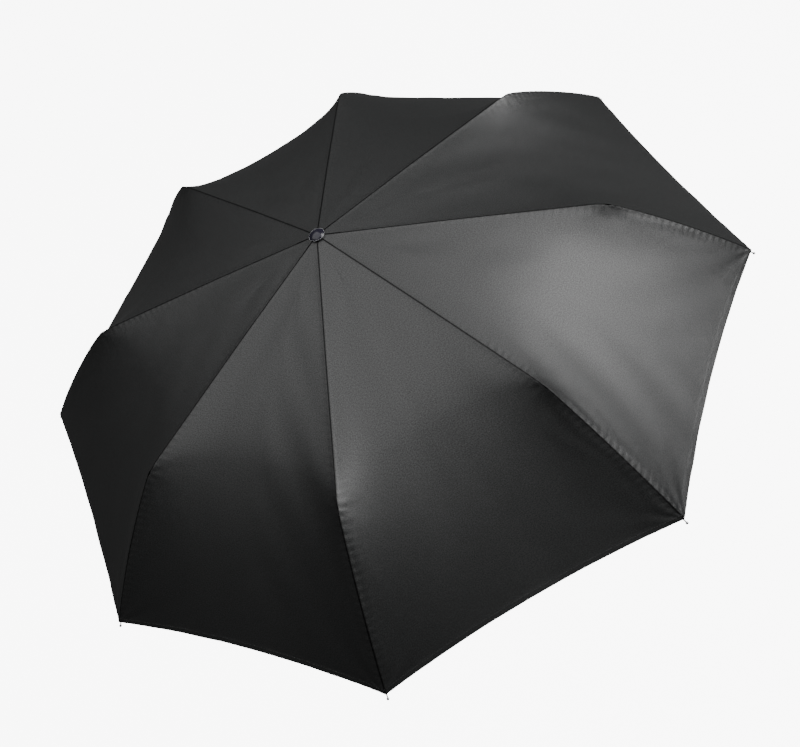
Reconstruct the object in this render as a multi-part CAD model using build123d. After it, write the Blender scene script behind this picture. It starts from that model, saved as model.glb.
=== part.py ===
from build123d import *
import math
import os

# Folding umbrella, three-fold, eight ribs, shown open.
# The origin is the middle of the grip on the shaft's axis. +Z runs up the shaft to the cap.
# Rib 1 lies over +X and the ribs are numbered anticlockwise seen from above.

# ---------------------------------------------------------------- driving sizes, millimetres
RIBS = 8
PITCH = 360 / RIBS

# Canopy line over a rib, as (radius, height above the plane of the hem corners)
HOLE_R, HOLE_Z = 6.0, 213.0
FOLD1_R, FOLD1_Z = 151.0, 184.4
FOLD2_R, FOLD2_Z = 336.0, 144.8
HEM_R = 490.0
CLOTH_T = 0.4
HEM_SCALLOP = 10.0           # how far the hem runs in between two corners, along the cloth
OUTER_BOW = 5.0              # how far the outer rib and the cloth over it bow out of straight
# Drop of the cloth's middle below the straight line between two ribs
SAG_FOLD1 = 1.5
SAG_INNER = 7.5
SAG_FOLD2 = 25.0
SAG_OUTER = (20.5, 15.0, 9.0)

# Shaft
UPPER_R, UPPER_WALL = 6.0, 0.5
MIDDLE_R, MIDDLE_WALL = 4.6, 0.45
LOWER_R, LOWER_WALL = 3.3, 0.45
UPPER_LEN = 180.0
MIDDLE_LEN = 166.0
LOWER_SHOWN = 140.0
TUBE_LAP = 22.0              # how much of one tube stays in the next when pulled out
LOWER_TRAVEL = 138.0
UPPER_TRAVEL = 140.0
COLLAR_LEN, BUSH_LEN = 6.0, 8.0
RUN_FIT = 0.08               # radial clearance of a running fit

# Handle
GRIP_LEN = 58.0
GRIP_R_TOP, GRIP_R_MID, GRIP_R_END = 13.0, 14.5, 12.5
GRIP_WALL = 3.0
GRIP_CUP = 5.0               # depth of the cup in the grip's top
CORE_LEN = 46.0
TUBE_IN_GRIP = 44.0
END_CAP_T = 3.0
LUG_W, LUG_H, LUG_T = 10.0, 8.0, 5.0
EYE_R = 2.0

# Crown at the top of the shaft, and the runner
PIN_UNDER_CLOTH = 5.6        # crown pin circle below the cloth's hole
CROWN_PIN_R, CROWN_R = 10.0, 12.8
CROWN_DOWN, CROWN_UP = 3.0, 2.4
CROWN_TUBE_UP = 2.0          # the upper tube's end above the pin circle
STEM_R = 3.0
RUNNER_PIN_R, RUNNER_R = 11.0, 13.8
RUNNER_OPEN = 75.0           # runner pin circle below the crown pin circle, open
RUNNER_TRAVEL = 78.0
RUNNER_HALF = 3.0
RUNNER_SLEEVE_R, RUNNER_SLEEVE_LEN = 8.8, 19.0
RUNNER_FOOT_R, RUNNER_FOOT_H = 11.0, 4.0
LATCH_TURN = PITCH / 2       # the latch stands between two struts
LATCH_W, LATCH_H = 4.0, 10.0
LATCH_R, LATCH_DOWN = 8.2, 8.2  # its pivot's radius, and depth below the runner's head
LATCH_PIN_R, LATCH_NOSE = 0.7, 2.4
LATCH_PUSH = 12.0            # degrees
LATCH_TALL = 4.6             # reach of the lever above and below its pivot
LATCH_EAR = 1.0              # length of the pivot pin beside the lever
RING_WIRE_R = 0.5
RING_HOLE_R = 0.65
TONGUE_W = 2.2
SLOT_GAP = 0.2               # each side of a tongue in its slot

# Cap
CAP_R, CAP_H = 9.8, 5.2
CAP_ABOVE_CLOTH = 0.7
RIM_R, RIM_H = 9.9, 1.5

# Ribs. A channel's roof stands below the line of its fold pin by PIN_GAP, so that the next
# segment can fold flat against it.
PIN_GAP = 0.3
RIB_W, RIB_H, RIB_WALL = 4.6, 3.6, 0.5
MID_W, MID_H, MID_WALL = 4.0, 3.2, 0.45
SIDE_GAP = 0.2
MID_TONGUE_W = RIB_W - 2 * RIB_WALL - 2 * SIDE_GAP
OUTER_TONGUE_W = MID_W - 2 * MID_WALL - 2 * SIDE_GAP
KNUCKLE_R = 1.7
RIVET_R, RIVET_HEAD_R, RIVET_HEAD_T = 0.8, 1.4, 0.4
PIN_FIT = 0.05
FOLD1_UNDER_CLOTH = 2.9
FOLD2_UNDER_CLOTH = 7.2
TIP_UNDER_CLOTH = 3.2
FERRULE_END, FERRULE_LIP = 15.0, 1.2
ROD_R, ROD_ROOT = 1.1, 6.0
ROD_RISE = PIN_GAP + ROD_R + 0.8  # the rod's root above its fold pin
TIP_R, TIP_SOCKET, TIP_NECK_R, BALL_R, BALL_OUT = 1.7, 9.0, 0.9, 2.1, 6.5
STRUT_AT = 65.0              # strut pin along the top rib from the crown pin
STRUT_W, STRUT_WALL, STRUT_FLOOR = 6.0, 0.5, -3.4
STRUT_RISE = 45.0            # strut's slope when open, degrees
STRUT_BARE = 24.0            # length at the strut's outer end with no floor, so it can straddle the rib
LINK_R = 0.5
LINK_FROM, LINK_TO = 12.0, 9.0  # the link wire's ends from the two fold pins
TOP_CLOSED = -80.0           # slopes of the three rib segments when folded, degrees
MID_CLOSED = 92.0
OUTER_CLOSED = -86.2

# Tie strap, laid on the cloth beside rib 4
STRAP_RIB = 4
STRAP_LEN, STRAP_W, STRAP_T = 150.0, 20.0, 1.0
STRAP_OVER_CLOTH, STRAP_FROM_HEM, STRAP_FROM_SEAM = 1.4, 9.0, 5.0
PATCH_LEN, PATCH_T = 32.0, 1.2

# ---------------------------------------------------------------- heights and points worked out
GRIP_TOP = GRIP_LEN / 2
GRIP_END = -GRIP_LEN / 2
MIDDLE_BOTTOM = GRIP_TOP + LOWER_SHOWN
MIDDLE_TOP = MIDDLE_BOTTOM + MIDDLE_LEN
LOWER_TOP = MIDDLE_BOTTOM + TUBE_LAP
UPPER_BOTTOM = MIDDLE_TOP - TUBE_LAP
UPPER_TOP = UPPER_BOTTOM + UPPER_LEN
CROWN_Z = UPPER_TOP - CROWN_TUBE_UP
CORNER_Z = CROWN_Z + PIN_UNDER_CLOTH - HOLE_Z
RUNNER_Z = CROWN_Z - RUNNER_OPEN
LATCH_Z = RUNNER_Z - RUNNER_HALF - LATCH_DOWN


def under(point, slope, depth):
    """The point that lies depth below a line of the given slope."""
    return (point[0] + depth * math.sin(slope), point[1] - depth * math.cos(slope))


def slope_of(a, b):
    return math.atan2(b[1] - a[1], b[0] - a[0])


CLOTH_HOLE = (HOLE_R, CORNER_Z + HOLE_Z)
CLOTH_FOLD1 = (FOLD1_R, CORNER_Z + FOLD1_Z)
CLOTH_FOLD2 = (FOLD2_R, CORNER_Z + FOLD2_Z)
CLOTH_HEM = (HEM_R, CORNER_Z)
SLOPE_MIDDLE = slope_of(CLOTH_FOLD1, CLOTH_FOLD2)
SLOPE_OUTER = slope_of(CLOTH_FOLD2, CLOTH_HEM)

PIN_CROWN = (CROWN_PIN_R, CROWN_Z)
PIN_FOLD1 = under(CLOTH_FOLD1, SLOPE_MIDDLE, FOLD1_UNDER_CLOTH)
PIN_FOLD2 = under(CLOTH_FOLD2, SLOPE_MIDDLE, FOLD2_UNDER_CLOTH)
ROD_END = under(CLOTH_HEM, SLOPE_OUTER, TIP_UNDER_CLOTH)
PIN_RUNNER = (RUNNER_PIN_R, RUNNER_Z)

TOP_SLOPE = slope_of(PIN_CROWN, PIN_FOLD1)
MID_SLOPE = slope_of(PIN_FOLD1, PIN_FOLD2)
OUTER_SLOPE = slope_of(PIN_FOLD2, ROD_END)
TOP_LEN = math.dist(PIN_CROWN, PIN_FOLD1)
MID_LEN = math.dist(PIN_FOLD1, PIN_FOLD2)
OUTER_LEN = math.dist(PIN_FOLD2, ROD_END)

STRUT_PIN_DROP = PIN_GAP + RIB_H / 2


def on_line(start, slope, along, rise):
    """A point given along and square to a line that leaves start at a slope."""
    c, s = math.cos(slope), math.sin(slope)
    return (start[0] + along * c - rise * s, start[1] + along * s + rise * c)


PIN_STRUT = on_line(PIN_CROWN, TOP_SLOPE, STRUT_AT, -STRUT_PIN_DROP)
STRUT_SLOPE = math.radians(STRUT_RISE)
STRUT_LEN = (PIN_STRUT[0] - RUNNER_PIN_R) / math.cos(STRUT_SLOPE)


# ---------------------------------------------------------------- shape helpers
def half(a, b, share=0.5):
    """The point a share of the way from a to b, halfway unless told."""
    return (a[0] + (b[0] - a[0]) * share, a[1] + (b[1] - a[1]) * share)


def disc(radius, low, high, bore=0.0):
    """A round slab on the shaft's axis, bored through if a bore is given."""
    shape = Pos(0, 0, (low + high) / 2) * Cylinder(radius, high - low)
    if bore:
        shape -= Pos(0, 0, (low + high) / 2) * Cylinder(bore, high - low + 2)
    return shape


def cross_pin(x, z, radius, half_width, start=0.0):
    """A pin square to the rib's plane, from start to half_width on both sides."""
    pin = Pos(x, 0, z) * Rot(90, 0, 0) * Cylinder(radius, 2 * half_width)
    if start:
        pin -= Pos(x, 0, z) * Box(4 * radius, 2 * start, 4 * radius)
    return pin


def slab(x0, x1, z0, z1, width):
    """A box in a rib's own frame, centred on the rib's plane."""
    return Pos((x0 + x1) / 2, 0, (z0 + z1) / 2) * Box(x1 - x0, width, z1 - z0)


def wedge_plate(points, width):
    """A plate cut to an outline in the rib's plane."""
    outline = make_face(Polyline(*[(x, z) for x, z in points], close=True))
    face = Plane.XZ * outline
    return extrude(face, width / 2, both=True)


def in_place(shape, start, slope, number):
    """A shape from a rib's own frame to its pin, slope and place round the shaft."""
    turn = Rot(0, 0, PITCH * (number - 1))
    return turn * Pos(start[0], 0, start[1]) * Rot(0, -math.degrees(slope), 0) * shape


def save(shapes, name):
    """One STEP file of one or more solids."""
    solids = []
    for shape in shapes:
        solids += shape.solids()
    body = solids[0] if len(solids) == 1 else Compound(children=solids)
    body.label = name
    export_step(body, f"parts/{name}.step")


# ---------------------------------------------------------------- handle
def handle_grip():
    """Rubber-coated grip: a barrel with a cup at the top and a bore for its core."""
    bore = GRIP_R_END - GRIP_WALL
    with BuildPart() as grip:
        with BuildSketch(Plane.XZ):
            with BuildLine():
                side = ThreePointArc((GRIP_R_END, GRIP_END), (GRIP_R_MID, 0), (GRIP_R_TOP, GRIP_TOP))
                Polyline(side @ 1, (bore, GRIP_TOP), (bore, GRIP_END), side @ 0)
            make_face()
        revolve(axis=Axis.Z)
        fillet(grip.edges().filter_by(GeomType.CIRCLE).group_by(Axis.Z)[-1], GRIP_WALL / 3)
    return grip.part


def handle_core():
    """Moulded core that fills the grip and holds the lower tube."""
    top = GRIP_TOP - GRIP_CUP
    core = disc(GRIP_R_END - GRIP_WALL, top - CORE_LEN, top)
    return core - disc(LOWER_R, GRIP_TOP - TUBE_IN_GRIP, GRIP_TOP + 1)


def handle_end_cap():
    """Plug in the grip's end with a drilled lug for a wrist cord."""
    plug_top = GRIP_TOP - GRIP_CUP - CORE_LEN
    cap = disc(GRIP_R_END - GRIP_WALL, GRIP_END, plug_top)
    cap += disc(GRIP_R_END - 0.6, GRIP_END - END_CAP_T, GRIP_END)
    lug_top = GRIP_END - END_CAP_T
    cap += Pos(0, 0, lug_top - LUG_H / 2 + 0.5) * Box(LUG_W, LUG_T, LUG_H + 1)
    return cap - cross_pin(0, lug_top - LUG_H / 2, EYE_R, LUG_T)


# ---------------------------------------------------------------- shaft
def shaft():
    """Three tubes, each with a collar at its top that runs in the next tube's bore."""
    lower_in = LOWER_R - LOWER_WALL
    middle_in = MIDDLE_R - MIDDLE_WALL
    upper_in = UPPER_R - UPPER_WALL
    tubes = {
        "lower_tube": disc(LOWER_R, GRIP_TOP - TUBE_IN_GRIP, LOWER_TOP, lower_in),
        "lower_tube_collar": disc(middle_in - RUN_FIT, LOWER_TOP - COLLAR_LEN, LOWER_TOP, LOWER_R),
        "middle_tube": disc(MIDDLE_R, MIDDLE_BOTTOM, MIDDLE_TOP, middle_in),
        "middle_tube_bush": disc(middle_in, MIDDLE_BOTTOM, MIDDLE_BOTTOM + BUSH_LEN, LOWER_R + RUN_FIT),
        "middle_tube_collar": disc(upper_in - RUN_FIT, MIDDLE_TOP - COLLAR_LEN, MIDDLE_TOP, MIDDLE_R),
        "upper_tube": disc(UPPER_R, UPPER_BOTTOM, UPPER_TOP, upper_in) - latch_hole(),
        "upper_tube_bush": disc(upper_in, UPPER_BOTTOM, UPPER_BOTTOM + BUSH_LEN, MIDDLE_R + RUN_FIT),
    }
    return tubes


# ---------------------------------------------------------------- crown, cap and runner
def slots(radius_from, low, high, rim):
    """Eight slots for the tongues of the ribs or struts, open outwards."""
    width = TONGUE_W + 2 * SLOT_GAP
    depth = rim - radius_from + 1
    one = Pos(radius_from + depth / 2, 0, (low + high) / 2) * Box(depth, width, high - low + 1)
    return [Rot(0, 0, PITCH * i) * one for i in range(RIBS)]


def pin_ring(radius, height):
    """The wire that all the tongues turn on."""
    return Pos(0, 0, height) * Torus(radius, RING_WIRE_R)


def crown():
    """Notched crown pressed on the upper tube, with a stem for the cap."""
    low, high = CROWN_Z - CROWN_DOWN, CROWN_Z + CROWN_UP
    body = disc(CROWN_R, low, high)
    stem_top = CLOTH_HOLE[1] + CAP_ABOVE_CLOTH + RIM_H
    body += disc(STEM_R, high - 1, stem_top)
    body -= disc(UPPER_R, low - 1, UPPER_TOP)
    for cut in slots(CROWN_PIN_R - KNUCKLE_R - 2 * SLOT_GAP, low, high, CROWN_R):
        body -= cut
    return body - pin_ring(CROWN_PIN_R, CROWN_Z)


def cap():
    """Domed cap over the hole in the cloth, seated in a rim ring."""
    low = CLOTH_HOLE[1] + CAP_ABOVE_CLOTH + RIM_H
    rise = CAP_H - RIM_H
    ball = (CAP_R ** 2 + rise ** 2) / (2 * rise)
    dome = Pos(0, 0, low + rise - ball) * Sphere(ball)
    return dome & disc(CAP_R, low, low + rise + 1)


def cap_rim():
    """Bright ring under the cap."""
    low = CLOTH_HOLE[1] + CAP_ABOVE_CLOTH
    return disc(RIM_R, low, low + RIM_H, STEM_R)


def runner():
    """Sliding sleeve with slots for the struts and a window for its latch."""
    low, high = RUNNER_Z - RUNNER_HALF, RUNNER_Z + RUNNER_HALF
    foot = low - RUNNER_SLEEVE_LEN
    body = disc(RUNNER_R, low, high)
    body += disc(RUNNER_SLEEVE_R, foot, low + 1)
    body += disc(RUNNER_FOOT_R, foot, foot + RUNNER_FOOT_H)
    body -= disc(UPPER_R + RUN_FIT, foot - 1, high + 1)
    for cut in slots(RUNNER_PIN_R - KNUCKLE_R - 2 * SLOT_GAP, low, high, RUNNER_R):
        body -= cut
    body -= pin_ring(RUNNER_PIN_R, RUNNER_Z)
    clear = 2 * SLOT_GAP
    window = latch_frame(Box(2 * (LATCH_R - UPPER_R), LATCH_W + clear, LATCH_H + 2 * clear))
    pivot = latch_frame(cross_pin(0, 0, LATCH_PIN_R + PIN_FIT, LATCH_W / 2 + LATCH_EAR + SLOT_GAP))
    return body - window - pivot


# ---------------------------------------------------------------- runner latch
def latch_frame(shape):
    return Rot(0, 0, LATCH_TURN) * Pos(LATCH_R, 0, LATCH_Z) * shape


def runner_latch():
    """Rocking latch: its nose points at the hole in the tube, its pad is pressed by a thumb."""
    face = UPPER_R + RUN_FIT - LATCH_R
    outline = [
        (face, LATCH_TALL),
        (face + 2.0, LATCH_TALL),
        (LATCH_NOSE, 0.0),
        (LATCH_NOSE, -LATCH_TALL),
        (0.8, -LATCH_TALL),
        (-0.4, 0.0),
        (face, LATCH_TALL - LATCH_NOSE),
    ]
    lever = wedge_plate(outline, LATCH_W) + cross_pin(0, 0, LATCH_PIN_R, LATCH_W / 2 + LATCH_EAR)
    return latch_frame(lever)


def latch_hole():
    """Hole in the upper tube that the latch's nose drops into."""
    height = LATCH_NOSE + 0.8
    hole = Pos(UPPER_R, 0, LATCH_Z + LATCH_TALL - LATCH_NOSE / 2) * Box(3, LATCH_W + 0.4, height)
    return Rot(0, 0, LATCH_TURN) * hole


# ---------------------------------------------------------------- ribs and struts
def channel(x0, x1, floor0, floor1, height, width, wall):
    """A straight channel open downwards, whose underside runs from floor0 to floor1."""
    outer = wedge_plate([(x0, floor0), (x1, floor1), (x1, floor1 + height), (x0, floor0 + height)], width)
    roof0, roof1 = floor0 + height - wall, floor1 + height - wall
    inner = wedge_plate(
        [(x0 - 1, floor0 - 1), (x1 + 1, floor1 - 1), (x1 + 1, roof1), (x0 - 1, roof0)], width - 2 * wall
    )
    return outer - inner


def knuckle(x, radius, width, hole):
    return cross_pin(x, 0, radius, width / 2) - cross_pin(x, 0, hole, width)


def fork(pin_x, tip_from, low, high, outer_w, inner_w):
    """Two cheeks that carry a rivet at pin_x, joined to a channel at tip_from."""
    plate = wedge_plate([(tip_from, low), (pin_x, -KNUCKLE_R), (pin_x, KNUCKLE_R), (tip_from, high)], outer_w)
    plate += cross_pin(pin_x, 0, KNUCKLE_R, outer_w / 2)
    plate -= slab(tip_from - 1, pin_x + 3, low - 3, high + 3, inner_w)
    return plate - cross_pin(pin_x, 0, RIVET_R, outer_w)


def rivet(x, z, half_width):
    """Shank with a flat head at each end."""
    shank = cross_pin(x, z, RIVET_R, half_width)
    return shank + cross_pin(x, z, RIVET_HEAD_R, half_width + RIVET_HEAD_T, half_width)


def top_rib():
    """Pressed channel with a tongue in the crown, a fork at the first fold and two rivets."""
    floor, roof = -PIN_GAP - RIB_H, -PIN_GAP
    start, end = 5.0, TOP_LEN - 4.0
    tongue = knuckle(0, KNUCKLE_R, TONGUE_W, RING_HOLE_R)
    root = wedge_plate([(1.2, -1.2), (start + 4, floor), (start + 4, roof), (1.2, 1.0)], TONGUE_W)
    body = channel(start, end, floor, floor, RIB_H, RIB_W, RIB_WALL) + root + tongue
    body += fork(TOP_LEN, end - 0.5, floor, roof, RIB_W, MID_TONGUE_W + 2 * SIDE_GAP)
    body -= cross_pin(STRUT_AT, -STRUT_PIN_DROP, RIVET_R, RIB_W)
    shank = cross_pin(STRUT_AT, -STRUT_PIN_DROP, RIVET_R, RIB_W / 2)
    return [body, rivet(TOP_LEN, 0, RIB_W / 2), shank]


def middle_rib():
    """Narrower channel: its fold pins are above its roof at one end and below its floor at the other."""
    start, end = 6.0, MID_LEN - 4.0
    floor0 = -PIN_GAP - MID_H
    body = channel(start, end, floor0, PIN_GAP, MID_H, MID_W, MID_WALL)
    body += knuckle(0, KNUCKLE_R, MID_TONGUE_W, RIVET_R + PIN_FIT)
    body += wedge_plate([(1.5, -1.0), (start + 3, floor0), (start + 3, -PIN_GAP), (1.5, 0.4)], MID_TONGUE_W)
    body += fork(MID_LEN, end - 0.5, PIN_GAP, PIN_GAP + MID_H, MID_W, OUTER_TONGUE_W + 2 * SIDE_GAP)
    return [body, rivet(MID_LEN, 0, MID_W / 2)]


def link_wire():
    """Spring wire that lies in the middle rib's channel, from one fold to the other."""
    start, end = LINK_FROM, MID_LEN - LINK_TO
    low = -PIN_GAP - MID_H + 2 * LINK_R
    high = PIN_GAP + MID_H / 2 - 0.3
    length = math.hypot(end - start, high - low)
    tilt = -math.degrees(math.atan2(high - low, end - start))
    bar = Pos((start + end) / 2, 0, (low + high) / 2) * Rot(0, tilt, 0) * Rot(0, 90, 0)
    return [bar * Cylinder(LINK_R, length)]


def rod_line():
    """The outer rib's centreline in its own frame: an arc that bows out between its two ends."""
    root, tip = (ROD_ROOT, ROD_RISE), (OUTER_LEN, 0.0)
    middle = on_line(half(root, tip), slope_of(root, tip), 0, OUTER_BOW)
    return ThreePointArc(*[(x, 0, z) for x, z in (root, middle, tip)])


def outer_rib():
    """Round rod in a pressed ferrule, with a ball-ended metal tip that the hem corner is sewn to."""
    line = rod_line()
    rod = sweep(Plane(line @ 0, z_dir=line % 0) * Circle(ROD_R), path=line)
    high = ROD_RISE + ROD_R + FERRULE_LIP
    ferrule = knuckle(0, KNUCKLE_R, OUTER_TONGUE_W, RIVET_R + PIN_FIT)
    ferrule += wedge_plate([(1.4, -1.0), (5.0, PIN_GAP), (5.0, high), (1.4, 1.0)], OUTER_TONGUE_W)
    ferrule += slab(4.8, FERRULE_END, PIN_GAP, high, 2 * ROD_R + 1.2)
    tip_frame = Plane(line @ 1, z_dir=line % 1).location

    def round_bar(radius, x0, x1):
        return tip_frame * Pos(0, 0, (x0 + x1) / 2) * Cylinder(radius, x1 - x0)

    end = round_bar(TIP_R, -TIP_SOCKET, 1.5)
    end += round_bar(TIP_NECK_R, 0, BALL_OUT)
    end += tip_frame * Pos(0, 0, BALL_OUT) * Sphere(BALL_R)
    return [ferrule - rod, rod, end - rod]


def strut():
    """Stretcher: a channel open upwards between the runner and the top rib, which it straddles."""
    top = 1.0
    start, floor_end, wall_end = 7.0, STRUT_LEN - STRUT_BARE, STRUT_LEN - 3.0
    inner_w = STRUT_W - 2 * STRUT_WALL
    body = slab(start, floor_end, STRUT_FLOOR, top, STRUT_W)
    body -= slab(start + 3, floor_end + 1, STRUT_FLOOR + STRUT_WALL, top + 1, inner_w)
    cheek = [
        (floor_end - 1, STRUT_FLOOR),
        (STRUT_LEN, -KNUCKLE_R),
        (STRUT_LEN, KNUCKLE_R),
        (wall_end, top),
        (floor_end - 1, top),
    ]
    cheeks = wedge_plate(cheek, STRUT_W) + cross_pin(STRUT_LEN, 0, KNUCKLE_R, STRUT_W / 2)
    cheeks -= slab(floor_end - 2, STRUT_LEN + 3, STRUT_FLOOR - 1, top + 3, inner_w)
    body += cheeks
    body += wedge_plate([(1.2, -1.2), (start + 1, STRUT_FLOOR), (start + 1, top), (1.2, 1.2)], TONGUE_W)
    body += knuckle(0, KNUCKLE_R, TONGUE_W, RING_HOLE_R)
    body += cross_pin(STRUT_LEN, 0, RIVET_HEAD_R, STRUT_W / 2 + RIVET_HEAD_T, inner_w / 2)
    return [body]


# ---------------------------------------------------------------- canopy
def over_outer(share):
    """Point of the bowed line of the cloth over an outer rib, from the fold to the hem."""
    bow = 4 * OUTER_BOW * share * (1 - share)
    return on_line(half(CLOTH_FOLD2, CLOTH_HEM, share), SLOPE_OUTER, 0, bow)


def cloth_rows():
    """Rows of the cloth from the hole to the hem: rib point, drop and inward run at mid panel."""
    run = HEM_SCALLOP * math.cos(SLOPE_OUTER)
    rise = HEM_SCALLOP * math.sin(-SLOPE_OUTER)
    outer = [(over_outer((i + 1) / 4), drop, 0.0) for i, drop in enumerate(SAG_OUTER)]
    inner = [
        (CLOTH_HOLE, 0.0, 0.0),
        (CLOTH_FOLD1, SAG_FOLD1, 0.0),
        (half(CLOTH_FOLD1, CLOTH_FOLD2), SAG_INNER, 0.0),
        (CLOTH_FOLD2, SAG_FOLD2, 0.0),
    ]
    return inner + outer + [(CLOTH_HEM, -rise, run)]


def cloth_panel():
    """One of the eight gores, as a thin shell of flat facets between rib 1 and rib 2."""
    columns = 4
    right, left = 0.0, math.radians(PITCH)
    grid = []
    for (radius, height), drop, run in cloth_rows():
        row = []
        for j in range(columns + 1):
            share = j / columns
            bulge = 4 * share * (1 - share)
            x = radius * ((1 - share) * math.cos(right) + share * math.cos(left))
            y = radius * ((1 - share) * math.sin(right) + share * math.sin(left))
            middle = math.radians(PITCH / 2)
            x -= bulge * run * math.cos(middle)
            y -= bulge * run * math.sin(middle)
            row.append((x, y, height - bulge * drop))
        grid.append(row)
    lower = [[(x, y, z - CLOTH_T) for x, y, z in row] for row in grid]

    def triangle(a, b, c):
        return Face(Wire.make_polygon([Vector(*a), Vector(*b), Vector(*c)], close=True))

    faces = []
    last = len(grid) - 1
    for i in range(last):
        for j in range(columns):
            for sheet in (grid, lower):
                faces.append(triangle(sheet[i][j], sheet[i + 1][j], sheet[i + 1][j + 1]))
                faces.append(triangle(sheet[i][j], sheet[i + 1][j + 1], sheet[i][j + 1]))
        for j in (0, columns):
            faces.append(triangle(grid[i][j], grid[i + 1][j], lower[i + 1][j]))
            faces.append(triangle(grid[i][j], lower[i + 1][j], lower[i][j]))
    for i in (0, last):
        for j in range(columns):
            faces.append(triangle(grid[i][j], grid[i][j + 1], lower[i][j + 1]))
            faces.append(triangle(grid[i][j], lower[i][j + 1], lower[i][j]))
    return Solid(Shell(faces))


def canopy():
    panel = cloth_panel()
    return [Rot(0, 0, PITCH * i) * panel for i in range(RIBS)]


def strap_plate(start, length, low, high):
    """A plate bent along the cloth over the strap's rib, set beside the seam, from start up the rib."""
    chord = math.dist(CLOTH_FOLD2, CLOTH_HEM)
    shares = [1 - (start + length * i / 2) / chord for i in range(3)]

    def edge(rise):
        points = [on_line(over_outer(share), SLOPE_OUTER, 0, rise) for share in shares]
        return [(x, 0, z) for x, z in points]

    under, over = edge(low), edge(high)
    side = [ThreePointArc(*under), Line(under[2], over[2]), ThreePointArc(*over), Line(over[0], under[0])]
    plate = extrude(make_face(Wire(side)), STRAP_W / 2, both=True)
    beside = Pos(0, -STRAP_FROM_SEAM - STRAP_W / 2, 0) * plate
    seam = Axis((HEM_R, 0, CORNER_Z), (math.cos(SLOPE_OUTER), 0, math.sin(SLOPE_OUTER)))
    tilt = math.atan(math.tan(math.radians(PITCH / 2)) * math.sin(-SLOPE_OUTER))
    return Rot(0, 0, PITCH * (STRAP_RIB - 1)) * beside.rotate(seam, math.degrees(tilt))


def tie_strap():
    low = STRAP_OVER_CLOTH
    return strap_plate(STRAP_FROM_HEM, STRAP_LEN, low, low + STRAP_T)


def tie_patch():
    low = STRAP_OVER_CLOTH + STRAP_T
    return strap_plate(STRAP_FROM_HEM + STRAP_LEN - PATCH_LEN, PATCH_LEN, low, low + PATCH_T)


# ---------------------------------------------------------------- motion, for the joint table
def folded():
    """Slopes at rest and folded, and the runner's travel, which tie the folding joints together."""
    top = math.radians(TOP_CLOSED)
    pin = on_line(PIN_CROWN, top, STRUT_AT, -STRUT_PIN_DROP)
    strut_slope = math.acos((pin[0] - RUNNER_PIN_R) / STRUT_LEN)
    travel = (PIN_CROWN[1] - pin[1]) + STRUT_LEN * math.sin(strut_slope) - RUNNER_OPEN
    rows = {
        "top_rib": (TOP_SLOPE, top, PIN_CROWN),
        "middle_rib": (MID_SLOPE, math.radians(MID_CLOSED), PIN_FOLD1),
        "outer_rib": (OUTER_SLOPE, math.radians(OUTER_CLOSED), PIN_FOLD2),
        "strut": (STRUT_SLOPE, strut_slope, PIN_RUNNER),
    }
    return travel, rows


def main():
    os.makedirs("parts", exist_ok=True)
    save([handle_grip()], "handle_grip")
    save([handle_core()], "handle_core")
    save([handle_end_cap()], "handle_end_cap")
    for name, shape in shaft().items():
        save([shape], name)
    save([crown()], "crown")
    save([pin_ring(CROWN_PIN_R, CROWN_Z)], "crown_ring")
    save([cap()], "cap")
    save([cap_rim()], "cap_rim")
    save([runner()], "runner")
    save([pin_ring(RUNNER_PIN_R, RUNNER_Z)], "runner_ring")
    save([runner_latch()], "runner_latch")
    save(canopy(), "canopy")
    save([tie_strap()], "tie_strap")
    save([tie_patch()], "tie_patch")
    segments = [
        ("top_rib", top_rib(), PIN_CROWN, TOP_SLOPE),
        ("middle_rib", middle_rib(), PIN_FOLD1, MID_SLOPE),
        ("link_wire", link_wire(), PIN_FOLD1, MID_SLOPE),
        ("outer_rib", outer_rib(), PIN_FOLD2, OUTER_SLOPE),
        ("strut", strut(), PIN_RUNNER, STRUT_SLOPE),
    ]
    for name, shapes, pin, slope in segments:
        for number in range(1, RIBS + 1):
            placed = [in_place(shape, pin, slope, number) for shape in shapes]
            save(placed, f"{name}_{number}")
    travel, rows = folded()
    print("runner travel", round(travel, 3))
    for name, (open_slope, shut_slope, pin) in rows.items():
        print(name, [round(math.degrees(v), 3) for v in (open_slope, shut_slope)], [round(v, 3) for v in pin])
    print("rib lengths", [round(v, 2) for v in (TOP_LEN, MID_LEN, OUTER_LEN, STRUT_LEN)])


main()
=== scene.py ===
import math

import bpy
import numpy as np
from mathutils import Matrix, Vector


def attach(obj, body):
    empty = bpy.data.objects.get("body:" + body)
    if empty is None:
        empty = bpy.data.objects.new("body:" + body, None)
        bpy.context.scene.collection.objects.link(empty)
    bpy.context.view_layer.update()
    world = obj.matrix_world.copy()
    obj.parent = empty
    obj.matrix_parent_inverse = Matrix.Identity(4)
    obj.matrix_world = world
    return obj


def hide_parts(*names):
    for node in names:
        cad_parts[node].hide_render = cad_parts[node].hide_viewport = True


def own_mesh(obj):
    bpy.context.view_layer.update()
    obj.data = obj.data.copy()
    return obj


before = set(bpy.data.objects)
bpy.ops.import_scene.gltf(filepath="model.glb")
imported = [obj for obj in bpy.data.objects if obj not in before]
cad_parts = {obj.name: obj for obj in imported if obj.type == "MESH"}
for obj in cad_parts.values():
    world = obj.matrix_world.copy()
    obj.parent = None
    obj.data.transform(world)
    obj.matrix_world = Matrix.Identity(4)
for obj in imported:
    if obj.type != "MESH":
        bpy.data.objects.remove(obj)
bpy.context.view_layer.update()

# ---------------------------------------------------------------- cloth
# The canopy is eight gores of black polyester pongee, sewn together over the ribs and hemmed.
# The cloth is found as a tensioned membrane hung from the eight bowed rib lines, then cut into
# half gores by the three rib segments, since each part folds with its own segment.
RIBS = 8
PITCH = math.radians(360 / RIBS)
CORNER_Z = 0.2836  # height of the hem's corners
HOLE = (0.006, 0.2130)  # radius, height above the corners
FOLD1 = (0.151, 0.1844)
FOLD2 = (0.336, 0.1448)
HEM_R = 0.490
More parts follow.
